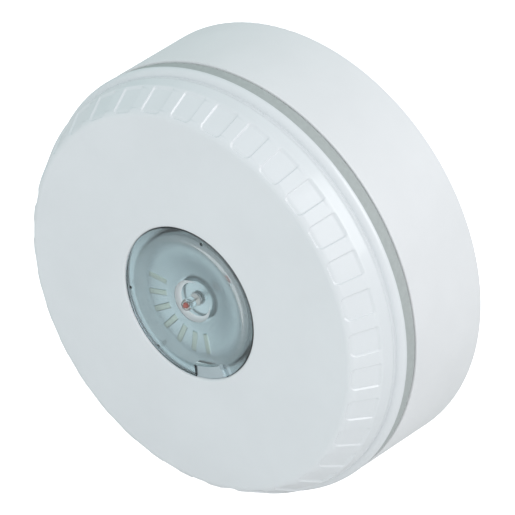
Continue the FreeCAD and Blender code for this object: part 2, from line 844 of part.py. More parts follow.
def screw_set(label, place, turn, count, head, core, head_low, head_high, tip):
    """Identical pan-head screws round the z axis; the tip may lie above or below the head."""
    body = new_piece(label)
    head_pad = raised(body, "head", disc(place, "0", head), head_low, head_high, turn=turn)
    upward = number(tip) > number(head_high)
    if upward:
        core_pad = raised(body, "core", disc(place, "0", core), head_high, tip, turn=turn)
        low, high = head_low, f"({head_low}) + 0.6"
    else:
        core_pad = raised(body, "core", disc(place, "0", core), tip, head_low, turn=turn)
        low, high = f"({head_high}) - 0.6", head_high
    recess = cross_recess(body, "recess", place, low, high, f"({head}) * 0.6", f"({head}) * 0.14", turn)
    around(body, "set", [head_pad, core_pad] + recess, count)


def head_screws():
    """Screws that hold the head together."""
    screw_set("chassis_screws", "boss_ring", "boss_angle", "4", "screw_head", "screw_core",
              "chassis_low - 0.5", "chassis_low + seat_depth",
              "chassis_low + chassis_wall + screw_reach")
    screw_set("board_screws", "post_ring", "90", "3", "screw_head * 0.8", "post_pilot - screw_gap",
              BOARD_TOP, f"{BOARD_TOP} + 1.3", "chassis_low + chassis_wall + 0.3")
    screw_set("retainer_screws", "retainer_ring", "30", "3", "screw_head * 0.55", "screw_core / 2",
              "tray_flange_low - retainer_wall - 1", "tray_flange_low - retainer_wall",
              "face_height - face_wall - 0.2")


def plate_screws():
    """Three screws that hold the terminal plate to the box."""
    body = new_piece("plate_screws")
    top = "plate_low + plate_wall"
    for index, (x, y) in enumerate(PLATE_SCREWS):
        raised(body, f"head_{index + 1}", disc(x, y, "screw_head"), top, f"{top} + 1.4")
        raised(body, f"core_{index + 1}", disc(x, y, "screw_core"), "floor_top + 0.3", top)
        for name, wide, tall in (("across", "recess_arm", "recess_half"),
                                 ("along", "recess_half", "recess_arm")):
            sunk(body, f"{name}_{index + 1}",
                 block(f"{x} - {wide}", f"{x} + {wide}", f"{y} - {tall}", f"{y} + {tall}"),
                 f"{top} + 0.7", f"{top} + 1.4")


# ---------------------------------------------------------------- seal and box

def seal_ring():
    """Grey sealing band between the head and the box."""
    body = new_piece("seal_ring")
    turned(body, "band", [
        ("skirt_outer + 0.6", "box_height"),
        ("band_radius - 0.2", "box_height"),
        ("band_radius", "box_height + 0.4"),
        ("band_radius", "band_height - 0.4"),
        ("band_radius - 0.2", "band_height - 0.02"),
        ("skirt_outer + 0.6", "band_height - 0.02"),
    ])


PLATE_SCREWS = (
    ("-screw_x", "screw_low_y"),
    ("screw_x", "screw_low_y"),
    ("0", "screw_high_y"),
)


def back_box():
    """Deep white wall box with the bayonet ledges, fixing slots and cable entries."""
    body = new_piece("back_box")
    turned(body, "shell", [
        ("entry_radius", "foot_recess"),
        ("foot_radius", "foot_recess"),
        ("foot_radius", "0"),
        ("box_radius - 0.5", "0"),
        ("box_radius", "0.5", "0.5", 1),
        ("box_lip_radius", "box_height - 0.3"),
        ("box_lip_radius - 0.3", "box_height", "0.3", 1),
        ("box_lip_radius - shell_wall", "box_height"),
        ("box_radius - shell_wall", "floor_top"),
        ("entry_radius", "floor_top"),
    ])
    turned(body, "grommet_rim", [
        ("entry_radius", "0"),
        ("entry_seat + 2", "0"),
        ("entry_seat + 2", "foot_recess + 0.1"),
        ("entry_radius", "foot_recess + 0.1"),
    ])
    turned(body, "grommet_seat", [
        ("entry_radius - 1", "-0.1"),
        ("entry_seat", "-0.1"),
        ("entry_seat", "foot_recess + 0.2"),
        ("entry_radius - 1", "foot_recess + 0.2"),
    ], cut=True)
    wall_inside = "box_lip_radius - shell_wall + 0.5"
    ledge = turned(body, "ledge", [
        ("ledge_inner", "ledge_low"),
        (wall_inside, "ledge_low"),
        (wall_inside, "ledge_low + ledge_wall"),
        ("ledge_inner", "ledge_low + ledge_wall"),
    ], span="ledge_span", at="lug_angle - twist_angle")
    stop = turned(body, "stop", [
        ("ledge_inner", "skirt_low"),
        (wall_inside, "skirt_low - 1"),
        (wall_inside, "ledge_low + ledge_wall"),
        ("ledge_inner", "ledge_low + ledge_wall"),
    ], span="1.6", at="lug_angle - twist_angle - ledge_span / 2 - 0.6")
    around(body, "ledges", [ledge, stop], "3")
    for index, (x, y) in enumerate(PLATE_SCREWS):
        raised(body, f"post_{index + 1}", disc(x, y, "screw_post"), "floor_top - 0.5", "plate_low")
        sunk(body, f"post_pilot_{index + 1}", disc(x, y, "screw_core + screw_gap"),
             "floor_top + 0.1", "plate_low")
    for index, sign in enumerate(("", "-")):
        sunk(body, f"fixing_slot_{index + 1}",
             slot(f"{sign}slot_centre", "(slot_length / 2 - slot_radius)", "slot_radius"),
             "-0.1", "floor_top")
        sunk(body, f"fixing_hole_{index + 1}", disc(f"{sign}hole_centre", "0", "slot_radius"),
             "-0.1", "floor_top")
    for index, side in enumerate(("-1", "1")):
        gap = "catch_width / 2 + guide_gap"
        near, far = sorted((f"{side} * ({gap})", f"{side} * ({gap} + guide_wall)"), key=number)
        raised(body, f"catch_guide_{index + 1}",
               block("catch_ring - catch_depth / 2 - 0.4", wall_inside, near, far),
               "floor_top - 0.5", "guide_high", turn="catch_angle")
    tool_slot = new_sketch(body, "tool_slot_section", "XZ_Plane", turn="catch_angle")
    outline(tool_slot, box_outline("box_lip_radius - shell_wall - 0.5", "box_radius + 1",
                                  "tool_low", "tool_high"))
    groove = body.newObject("PartDesign::Groove", "tool_slot")
    groove.Profile = tool_slot
    groove.ReferenceAxis = (tool_slot, ["V_Axis"])
    groove.Midplane = True
    bind(groove, "Angle", "3.4")
    finish_feature(body, groove)
    knockout = new_sketch(body, "knockout_section", "YZ_Plane", lift="-box_radius - 1")
    circle(knockout, "0", "knockout_height", "knockout_radius")
    circle(knockout, "0", "knockout_height", "knockout_radius - knockout_groove")
    before = body.Shape.Volume
    groove = body.newObject("PartDesign::Pocket", "knockout")
    groove.Profile = knockout
    groove.Reversed = True
    bind(groove, "Length", "1 + shell_wall - knockout_wall")
    finish_feature(body, groove)
    if body.Shape.Volume >= before:
        raise RuntimeError("the knock-out cuts nothing")
    around(body, "knockouts", [groove], "2", span="90")


def cable_grommet():
    """Rubber grommet in the rear cable entry."""
    body = new_piece("cable_grommet")
    turned(body, "grommet", [
        ("grommet_bore", "0.1"),
        ("entry_seat - 0.3", "0.1"),
        ("entry_seat - 0.3", "foot_recess + 0.1"),
        ("entry_radius - 0.1", "foot_recess + 0.2"),
        ("entry_radius - 0.1", "floor_top + 0.05"),
        ("entry_radius + 1.6", "floor_top + 0.05"),
        ("entry_radius + 0.6", "floor_top + 1.2"),
        ("grommet_bore + 2", "floor_top + 1.4"),
        ("grommet_bore", "floor_top + 3"),
    ])


def lock_catch():
    """Sprung catch that rises behind a lug once the head is turned home."""
    body = new_piece("lock_catch")
    inner = "catch_ring - catch_depth / 2"
    outer = "catch_ring + catch_depth / 2"
    half = "catch_width / 2"
    raised(body, "slider", block(inner, outer, f"-{half}", half),
           "catch_low", "catch_high", turn="catch_angle")
    sunk(body, "tool_step", block(f"{outer} - 0.9", f"{outer} + 0.5", f"-{half} - 0.1", f"{half} + 0.1"),
         "tool_low", "tool_high", turn="catch_angle")


def catch_spring():
    """Small coil spring under the catch, drawn pressed down."""
    body = new_piece("catch_spring")
    seat = new_sketch(body, "wire_section", "XZ_Plane")
    circle(seat, "spring_ring", "0", "spring_wire")
    helix = body.newObject("PartDesign::AdditiveHelix", "coil")
    helix.Profile = seat
    helix.ReferenceAxis = (seat, ["V_Axis"])
    helix.Mode = 0
    height = "catch_low - floor_top - 2 * spring_wire - 0.1"
    bind(helix, "Height", height)
    bind(helix, "Pitch", f"({height}) / 3")
    finish_feature(body, helix)
    place = Vector(number(polar_x("catch_ring", "catch_angle")),
                   number(polar_y("catch_ring", "catch_angle")),
                   number("floor_top + spring_wire + 0.05"))
    body.Placement = TURN.multiply(Placement(place, Rotation()))


# ---------------------------------------------------------------- terminals

def terminal_plate():
    """Plate that carries the terminal block inside the box."""
    body = new_piece("terminal_plate")
    right = "plate_half_width"
    corner = "plate_corner"

    def draw(sketch):
        outline(sketch, [
            (f"{right} - {corner}", "plate_bottom"),
            (right, f"plate_bottom + {corner}", corner, 1),
            (right, f"plate_top - {corner}"),
            (f"{right} - {corner}", "plate_top", corner, 1),
            (f"-{right} + {corner}", "plate_top"),
            (f"-{right}", f"plate_top - {corner}", corner, 1),
            (f"-{right}", f"plate_bottom + {corner}"),
            (f"-{right} + {corner}", "plate_bottom", corner, 1),
        ])

    raised(body, "plate", draw, "plate_low", "plate_low + plate_wall")
    for index, (x, y) in enumerate(PLATE_SCREWS):
        sunk(body, f"hole_{index + 1}", disc(x, y, "screw_core + 0.2"),
             "plate_low", "plate_low + plate_wall")


def terminal_block():
    """Four-way terminal housing with a chamber, a screw well and a wire door for each way."""
    body = new_piece("terminal_block")
    top = "plate_low + plate_wall"
    raised(body, "housing",
           block("-block_half_width", "block_half_width", "block_bottom", "block_top"),
           top, "block_high")
    for way in range(4):
        x = way_x(way)
        half_x = "clamp_width / 2 + way_gap"
        half_y = "clamp_depth / 2 + way_gap"
        sunk(body, f"chamber_{way + 1}",
             block(f"{x} - ({half_x})", f"{x} + ({half_x})",
                   f"way_y - ({half_y})", f"way_y + ({half_y})"),
             f"{top} + 0.4", "block_high - 1.7")
        sunk(body, f"well_{way + 1}", disc(x, "way_y", "terminal_head + 0.35"),
             "block_high - 1.8", "block_high")
        sunk(body, f"door_{way + 1}",
             block(f"{x} - 1.7", f"{x} + 1.7", "way_y", "block_top + 0.1"),
             f"{top} + 0.9", "bar_low + 0.7")
        sunk(body, f"bar_slot_{way + 1}",
             block(f"{x} - bar_width / 2 - 0.1", f"{x} + bar_width / 2 + 0.1",
                   "block_bottom - 0.1", "way_y"),
             "bar_low - 0.1", "bar_low + bar_wall + 0.1")


def terminal_screws():
    """One cheese-head screw for each way."""
    for way in range(4):
        body = new_piece(f"terminal_screw_{way + 1}")
        x = way_x(way)
        raised(body, "head", disc(x, "way_y", "terminal_head"),
               "terminal_head_low", "terminal_head_high")
        raised(body, "thread", disc(x, "way_y", "thread_radius"), "tip_low", "terminal_head_low")
        sunk(body, "slot", block(f"{x} - terminal_head - 0.1", f"{x} + terminal_head + 0.1",
                                 "way_y - 0.35", "way_y + 0.35"),
             "terminal_head_high - 0.7", "terminal_head_high")


def terminal_clamps():
    """One rising cage for each way; its roof is the nut of the terminal screw."""
    for way in range(4):
        body = new_piece(f"terminal_clamp_{way + 1}")
        x = way_x(way)
        half = "clamp_width / 2"
        raised(body, "cage", block(f"{x} - {half}", f"{x} + {half}",
                                   "way_y - clamp_depth / 2", "way_y + clamp_depth / 2"),
               "clamp_low", "clamp_high")
        sunk(body, "window", block(f"{x} - {half} + 0.5", f"{x} + {half} - 0.5",
                                   "way_y - clamp_depth / 2 - 0.1", "way_y + clamp_depth / 2 + 0.1"),
             "clamp_low + clamp_wall - 0.2", "clamp_high - clamp_wall")
        sunk(body, "thread", disc(x, "way_y", "thread_radius + screw_gap"),
             "clamp_high - clamp_wall - 0.1", "clamp_high")


def contact_springs():
    """Four metal strips: each a bar inside a clamp that ends as a spring above the block."""
    body = new_piece("contact_springs")
    back = "block_bottom - 1.6"
    wall = "bar_wall"
    for way in range(4):
        x = way_x(way)
        low_x = f"{x} - bar_width / 2"
        high_x = f"{x} + bar_width / 2"
        raised(body, f"bar_{way + 1}", block(low_x, high_x, back, "way_y + 2.5"),
               "bar_low", f"bar_low + {wall}")
        raised(body, f"riser_{way + 1}", block(low_x, high_x, back, f"{back} + {wall}"),
               "bar_low", "spring_high")
        raised(body, f"leaf_{way + 1}", block(low_x, high_x, back, f"{back} + 4.6"),
               f"spring_high - {wall}", "spring_high")
        raised(body, f"dimple_{way + 1}", disc(x, f"{back} + 3.4", "0.8"),
               "spring_high - 0.1", "spring_high + 0.25")


# ---------------------------------------------------------------- build and write

def build():
    front_cap()
    beacon_lens()
    lens_seal()
    lens_retainer()
    reflector()
    led_body()
    led_leadframe()
    led_die()
    led_board()
    heat_spreader()
    spreader_pillars()
    led_wires()
    main_board()
    capacitors()
    inductor()
    driver_chip()
    chip_parts()
    dip_switch()
    dip_levers()
    head_contacts()
    head_chassis()
    head_screws()
    seal_ring()
    back_box()
    cable_grommet()
    lock_catch()
    catch_spring()
    terminal_plate()
    plate_screws()
    terminal_block()
    terminal_screws()
    terminal_clamps()
    contact_springs()


def check_and_write():
    doc.recompute()
    for item in doc.Objects:
        if "Invalid" in item.State or "Error" in item.State:
            raise RuntimeError(f"{item.Label} did not build: {item.State}")
    for body in pieces:
        if body.Shape.isNull() or not body.Shape.isValid() or not body.Shape.Solids:
            raise RuntimeError(f"{body.Label} has no valid solid")
    os.makedirs("parts", exist_ok=True)
    for body in pieces:
        body.Shape.exportStep(f"parts/{body.Label}.step")
        print(f"{body.Label}: {len(body.Shape.Solids)} solid(s), {body.Shape.Volume:.1f} mm3")


build()
check_and_write()
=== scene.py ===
import json
import math

import bmesh
import bpy
import numpy as np
from mathutils import Matrix, Vector


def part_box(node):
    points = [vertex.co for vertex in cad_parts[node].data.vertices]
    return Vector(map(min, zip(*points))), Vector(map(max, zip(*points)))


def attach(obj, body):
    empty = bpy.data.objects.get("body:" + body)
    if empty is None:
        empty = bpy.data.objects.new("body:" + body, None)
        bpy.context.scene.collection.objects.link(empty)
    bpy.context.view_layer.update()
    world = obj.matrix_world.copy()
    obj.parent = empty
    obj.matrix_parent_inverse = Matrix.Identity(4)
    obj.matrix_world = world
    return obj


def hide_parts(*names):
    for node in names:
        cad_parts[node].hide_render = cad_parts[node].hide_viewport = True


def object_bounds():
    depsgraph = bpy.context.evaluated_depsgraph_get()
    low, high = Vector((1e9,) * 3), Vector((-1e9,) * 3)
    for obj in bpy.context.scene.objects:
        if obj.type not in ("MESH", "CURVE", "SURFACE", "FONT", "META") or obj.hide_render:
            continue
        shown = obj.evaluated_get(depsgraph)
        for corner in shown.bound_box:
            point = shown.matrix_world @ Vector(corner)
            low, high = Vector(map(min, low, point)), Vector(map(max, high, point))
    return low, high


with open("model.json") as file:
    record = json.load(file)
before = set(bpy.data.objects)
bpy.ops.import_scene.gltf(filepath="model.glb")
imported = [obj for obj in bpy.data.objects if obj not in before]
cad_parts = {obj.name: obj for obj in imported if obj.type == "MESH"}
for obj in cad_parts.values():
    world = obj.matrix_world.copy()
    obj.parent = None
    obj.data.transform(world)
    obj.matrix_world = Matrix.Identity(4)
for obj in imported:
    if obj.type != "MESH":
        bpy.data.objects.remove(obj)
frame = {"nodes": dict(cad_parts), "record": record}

# Visual model of a round alarm beacon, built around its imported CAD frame.
# Drawing frame used below: r is the distance from the beacon's axis, z is the height above the
# wall and angles run anticlockwise from the right as seen from the front, all in millimetres
# and degrees. point() turns that into the row frame, where the wall is y = 0 and the lens
# faces -Y.

MM = 0.001
CAD_BOX = [list(corner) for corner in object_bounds()]

nodes = frame["nodes"]


# ---------------------------------------------------------------- sizes taken from the frame

def span(node):
    """Radius, lowest height and highest height of a round CAD node, in millimetres."""
    low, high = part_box(node)
    return high.x / MM, -high.y / MM, -low.y / MM


RIM, _, FACE = span("front_cap")
BAND_RADIUS, BAND_LOW, BAND_HIGH = span("seal_ring")
LENS_TOP = span("beacon_lens")[2]
TRAY_RADIUS, TRAY_LOW, KEY_TOP = span("reflector")
LAMP_FLANGE, LAMP_LOW, LAMP_TOP = span("led_body")
DIE_LOW = span("led_die")[1]
CAP_FOOT = BAND_HIGH + 0.02
SKIRT = 44.7

# Cap section from the opening out to the rim, its grip pads, and the place of the tray's key tab.
OPENING = 17.9
FACE_WALL = 2.2
CAP_INNER = 45.0
CAP_INNER_ROUND = 2.0
FACE_END = 43.3
FACE_ROUND = 2.2
BEVEL_FOOT = (48.1, FACE - 6.5)
BEVEL_MEAN = 46.0
LIP = (48.5, FACE - 9.3)
GROOVE_RADIUS = 48.25
GROOVE_HIGH = FACE - 9.9
GROOVE_LOW = FACE - 10.6
BEAD_START = 48.4
PAD_COUNT = 34
PAD_PHASE = 8.45
PAD_SPAN = 6.6
PAD_DEPTH = 0.36
PAD_CORNER = 1.2
PAD_EDGE = 0.17
PAD_START = 44.35
PAD_FADE = 0.9
KEY_ANGLE = 290.0
KEY_SPAN = 28.0

# Light and camera. Directions are in the row frame; the surround has one value for each channel.
FLOOR_BASE = 0.06
FLOOR_GLOW = 0.42
FLOOR_FILL = 0.22
FLOOR_BRIGHT_SIDE = (0.562, -1, 0)
FLOOR_EDGE = (0.05, 0.10)
SOFTBOX_SIDE = (0.74, 0.12, 0.62)
SOFTBOX_POWER = 8.5
SOFTBOX_SIZE = 0.9
SOFTBOX_AWAY = 1.2
SURROUND_LEVEL = (0.764, 0.835, 0.855)
SURROUND_SLOPE = (0.43, 0.36, 0.38)
SURROUND_SIDE = (0.185, -0.075, 0.045)
CAMERA_AZIMUTH = 39.33
CAMERA_ELEVATION = 31.06
CAMERA_LENS = 349.5
CAMERA_AWAY = 1.073
CAMERA_RIGHT = 0.0149
CAMERA_UP = 0.0100


# ---------------------------------------------------------------- mesh helpers

def point(r, angle, z):
    """A place in the drawing frame as a vector in the row frame, in metres."""
    a = math.radians(angle)
    return Vector((r * math.cos(a), -z, r * math.sin(a))) * MM


def arc(centre_r, centre_z, radius_r, radius_z, start, finish, steps):
    """Points along an elliptical arc in the (r, z) section; angles in degrees."""
    out = []
    for step in range(steps + 1):
        a = math.radians(start + (finish - start) * step / steps)
        out.append((centre_r + radius_r * math.cos(a), centre_z + radius_z * math.sin(a)))
    return out


def line(start, finish, steps):
    """Points along a straight stretch, without its first point."""
    return [(start[0] + (finish[0] - start[0]) * i / steps,
             start[1] + (finish[1] - start[1]) * i / steps) for i in range(1, steps + 1)]


def smoothstep(low, high, value):
    t = min(1.0, max(0.0, (value - low) / (high - low)))
    return t * t * (3 - 2 * t)


def mesh_piece(name, vertices, faces, sharp=35):
    """A mesh object with smooth shading except at edges sharper than the given angle."""
    mesh = bpy.data.meshes.new(name)
    mesh.from_pydata([tuple(v) for v in vertices], [], faces)
    mesh.validate()
    build = bmesh.new()
    build.from_mesh(mesh)
    bmesh.ops.recalc_face_normals(build, faces=build.faces)
    build.to_mesh(mesh)
    build.free()
    mesh.shade_smooth()
    mesh.set_sharp_from_angle(angle=math.radians(sharp))
    piece = bpy.data.objects.new(name, mesh)
    bpy.context.scene.collection.objects.link(piece)
    return piece


def evenly(columns):
    """Angles of evenly spread columns."""
    return [360.0 * column / columns for column in range(columns)]


def lathe_data(section, angles, shift=None):
    """Vertices and faces of a closed section turned through a full circle."""
    vertices = []
    rows = len(section)
    for angle in angles:
        for row, (r, z) in enumerate(section):
            if shift:
                r, z = shift(row, r, z, angle)
            vertices.append(point(r, angle, z))
    faces = []
    for column in range(len(angles)):
        after = (column + 1) % len(angles)
        for row in range(rows):
            below = (row + 1) % rows
            faces.append((column * rows + row, column * rows + below,
                          after * rows + below, after * rows + row))
    return vertices, faces


def lathe(name, section, angles=None, shift=None, sharp=35):
    vertices, faces = lathe_data(section, angles or evenly(256), shift)
    return mesh_piece(name, vertices, faces, sharp)


def spindle(name, section, columns=96, sharp=35):
    """A turned solid whose open section starts and ends on the axis."""
    vertices = [point(0, 0, section[0][1])]
    inner = section[1:-1]
    for column in range(columns):
        for r, z in inner:
            vertices.append(point(r, 360.0 * column / columns, z))
    vertices.append(point(0, 0, section[-1][1]))
    last = len(vertices) - 1
    faces = []
    rows = len(inner)
    for column in range(columns):
        after = (column + 1) % columns
        faces.append((0, 1 + column * rows, 1 + after * rows))
        faces.append((last, after * rows + rows, column * rows + rows))
        for row in range(rows - 1):
            faces.append((1 + column * rows + row, 1 + column * rows + row + 1,
                          1 + after * rows + row + 1, 1 + after * rows + row))
    return mesh_piece(name, vertices, faces, sharp)


def sector(name, section, low, high, columns=40, sharp=35):
    """A closed section turned through part of a circle, with flat ends."""
    vertices = []
    rows = len(section)
    for column in range(columns + 1):
        angle = low + (high - low) * column / columns
        for r, z in section:
            vertices.append(point(r, angle, z))
    faces = [tuple(range(rows)), tuple(columns * rows + row for row in range(rows))]
    for column in range(columns):
        for row in range(rows):
            below = (row + 1) % rows
            faces.append((column * rows + row, column * rows + below,
                          (column + 1) * rows + below, (column + 1) * rows + row))
    return mesh_piece(name, vertices, faces, sharp)


def modify(piece, kind, **settings):
    """Add a modifier and apply it to the mesh."""
    modifier = piece.modifiers.new(kind.lower(), kind)
    for key, value in settings.items():
        setattr(modifier, key, value)
    depsgraph = bpy.context.evaluated_depsgraph_get()
    mesh = bpy.data.meshes.new_from_object(piece.evaluated_get(depsgraph))
    piece.modifiers.clear()
    piece.data = mesh


def carve(piece, cutter):
    """Cut one closed mesh out of another."""
    modify(piece, "BOOLEAN", object=cutter, operation="DIFFERENCE", solver="EXACT")
    bpy.data.objects.remove(cutter)


def weld(name, parts):
    """Join several meshes into one piece."""
    whole = bmesh.new()
    for part in parts:
        whole.from_mesh(part.data)
    mesh = bpy.data.meshes.new(name)
    whole.to_mesh(mesh)
    whole.free()
    piece = bpy.data.objects.new(name, mesh)
    bpy.context.scene.collection.objects.link(piece)
    for part in parts:
        bpy.data.objects.remove(part)
    return piece


# ---------------------------------------------------------------- materials

def new_material(name):
    """A node material with its principled shader and a coordinate source."""
    material = bpy.data.materials.new(name)
    material.use_nodes = True
    tree = material.node_tree
    tree.nodes.clear()
    output = tree.nodes.new("ShaderNodeOutputMaterial")
    shader = tree.nodes.new("ShaderNodeBsdfPrincipled")
    tree.links.new(shader.outputs["BSDF"], output.inputs["Surface"])
    place = tree.nodes.new("ShaderNodeTexCoord")
    return material, tree, shader, place.outputs["Object"]


def noise(tree, place, scale, detail=3.0, roughness=0.55, stretch=(1, 1, 1)):
    """A noise texture whose scale is in features per metre."""
    mapping = tree.nodes.new("ShaderNodeMapping")
    mapping.inputs["Scale"].default_value = stretch
    texture = tree.nodes.new("ShaderNodeTexNoise")
    texture.inputs["Scale"].default_value = scale
    texture.inputs["Detail"].default_value = detail
    texture.inputs["Roughness"].default_value = roughness
    tree.links.new(place, mapping.inputs["Vector"])
    tree.links.new(mapping.outputs["Vector"], texture.inputs["Vector"])
    return texture.outputs["Fac"]


def ramp(tree, factor, stops):
    """A colour ramp; a stop is (position, (red, green, blue))."""
    node = tree.nodes.new("ShaderNodeValToRGB")
    elements = node.color_ramp.elements
    while len(elements) < len(stops):
        elements.new(0.5)
    for element, (position, colour) in zip(elements, stops):
        element.position = position
        element.color = (*colour, 1.0)
    tree.links.new(factor, node.inputs["Fac"])
    return node.outputs["Color"]


def span_value(tree, factor, low, high):
    """Map a factor of 0 to 1 onto a range."""
    node = tree.nodes.new("ShaderNodeMapRange")
    node.inputs["To Min"].default_value = low
    node.inputs["To Max"].default_value = high
    tree.links.new(factor, node.inputs["Value"])
    return node.outputs["Result"]


def bump(tree, shader, height, depth_mm, strength=1.0):
    node = tree.nodes.new("ShaderNodeBump")
    node.inputs["Distance"].default_value = depth_mm * MM
    node.inputs["Strength"].default_value = strength
    tree.links.new(height, node.inputs["Height"])
    tree.links.new(node.outputs["Normal"], shader.inputs["Normal"])


def shade(colour, factor):
    return tuple(min(1.0, channel * factor) for channel in colour)


def moulded(name, colour, roughness, grain=5000, grain_depth=0.004, mottle=0.02, coat=0.0):
    """Moulded plastic: faint flow mottling, uneven sheen and a fine tool texture."""
    material, tree, shader, place = new_material(name)
    flow = noise(tree, place, 60, 4)
    tree.links.new(ramp(tree, flow, [(0.3, shade(colour, 1 - mottle)), (0.7, shade(colour, 1 + mottle))]),
                   shader.inputs["Base Color"])
    sheen = noise(tree, place, 350, 3)
    tree.links.new(span_value(tree, sheen, roughness - 0.05, roughness + 0.05), shader.inputs["Roughness"])
    shader.inputs["Coat Weight"].default_value = coat
    shader.inputs["Coat Roughness"].default_value = 0.1
    shader.inputs["IOR"].default_value = 1.5
    bump(tree, shader, noise(tree, place, grain, 2), grain_depth)
    return material


def metal(name, colour, roughness, brush=(1, 1, 1), scale=900, depth=0.003):
    """Bare metal with brush or roll marks drawn out along one direction."""
    material, tree, shader, place = new_material(name)
    shader.inputs["Metallic"].default_value = 1.0
    marks = noise(tree, place, scale, 4, 0.6, brush)
    tree.links.new(ramp(tree, marks, [(0.25, shade(colour, 0.82)), (0.75, shade(colour, 1.08))]),
                   shader.inputs["Base Color"])
    tree.links.new(span_value(tree, marks, roughness - 0.08, roughness + 0.1), shader.inputs["Roughness"])
    bump(tree, shader, marks, depth)
    return material


def silvered(name, colour, tones, roughness):
    """Silvered moulding with other tones where its mesh attributes pick them out."""
    material, tree, shader, place = new_material(name)
    shader.inputs["Metallic"].default_value = 1.0
    marks = noise(tree, place, 900, 4, 0.6)
    tone = ramp(tree, marks, [(0.25, shade(colour, 0.98)), (0.75, shade(colour, 1.02))])
    for attribute, other in tones.items():
        pick = tree.nodes.new("ShaderNodeAttribute")
        pick.attribute_name = attribute
        mix = tree.nodes.new("ShaderNodeMixRGB")
        mix.inputs["Color2"].default_value = (*other, 1.0)
        tree.links.new(pick.outputs["Fac"], mix.inputs["Fac"])
        tree.links.new(tone, mix.inputs["Color1"])
        tone = mix.outputs["Color"]
    tree.links.new(tone, shader.inputs["Base Color"])
    tree.links.new(span_value(tree, marks, roughness - 0.02, roughness + 0.02), shader.inputs["Roughness"])
    return material


def clear(name, tint, roughness=0.03, ior=1.58):
    """Clear moulded plastic with a trace of surface wave."""
    material, tree, shader, place = new_material(name)
    shader.inputs["Transmission Weight"].default_value = 1.0
    shader.inputs["IOR"].default_value = ior
    wave = noise(tree, place, 220, 2)
    tree.links.new(ramp(tree, wave, [(0.0, shade(tint, 0.98)), (1.0, tint)]), shader.inputs["Base Color"])
    tree.links.new(span_value(tree, wave, roughness * 0.6, roughness * 1.4), shader.inputs["Roughness"])
    bump(tree, shader, wave, 0.002, 0.3)
    return material


def lens_plastic(name, tint, satin_colour):
    """Clear moulded plastic with satin walls where the satin attribute is set."""
    material = clear(name, tint)
    tree = material.node_tree
    shader = tree.nodes["Principled BSDF"]
    satin = tree.nodes.new("ShaderNodeAttribute")
    satin.attribute_name = "satin"
    clearness = tree.nodes.new("ShaderNodeMapRange")
    clearness.inputs["To Min"].default_value = 1.0
    clearness.inputs["To Max"].default_value = 0.15
    tree.links.new(satin.outputs["Fac"], clearness.inputs["Value"])
    tree.links.new(clearness.outputs["Result"], shader.inputs["Transmission Weight"])
    mix = tree.nodes.new("ShaderNodeMixRGB")
    mix.inputs["Color2"].default_value = (*satin_colour, 1.0)
    plain = shader.inputs["Base Color"].links[0].from_socket
    tree.links.new(satin.outputs["Fac"], mix.inputs["Fac"])
    tree.links.new(plain, mix.inputs["Color1"])
    tree.links.new(mix.outputs["Color"], shader.inputs["Base Color"])
    return material


def rubber(name, colour, roughness=0.7):
    """Matt elastomer with a fine dusty grain."""
    material, tree, shader, place = new_material(name)
    dust = noise(tree, place, 900, 5, 0.65)
    tree.links.new(ramp(tree, dust, [(0.3, shade(colour, 0.93)), (0.75, shade(colour, 1.07))]),
                   shader.inputs["Base Color"])
    tree.links.new(span_value(tree, dust, roughness - 0.06, roughness + 0.08), shader.inputs["Roughness"])
    bump(tree, shader, noise(tree, place, 6000, 2), 0.006)
    return material


def board(name, colour, track):
    """Solder mask over copper tracks, which show as a slightly lighter pattern."""
    material, tree, shader, place = new_material(name)
    cells = tree.nodes.new("ShaderNodeTexVoronoi")
    cells.feature = "DISTANCE_TO_EDGE"
    cells.inputs["Scale"].default_value = 260
    tree.links.new(place, cells.inputs["Vector"])
    tree.links.new(ramp(tree, cells.outputs["Distance"], [(0.05, track), (0.09, colour)]),
                   shader.inputs["Base Color"])
    shader.inputs["Roughness"].default_value = 0.35
    bump(tree, shader, cells.outputs["Distance"], 0.02, 0.4)
    return material


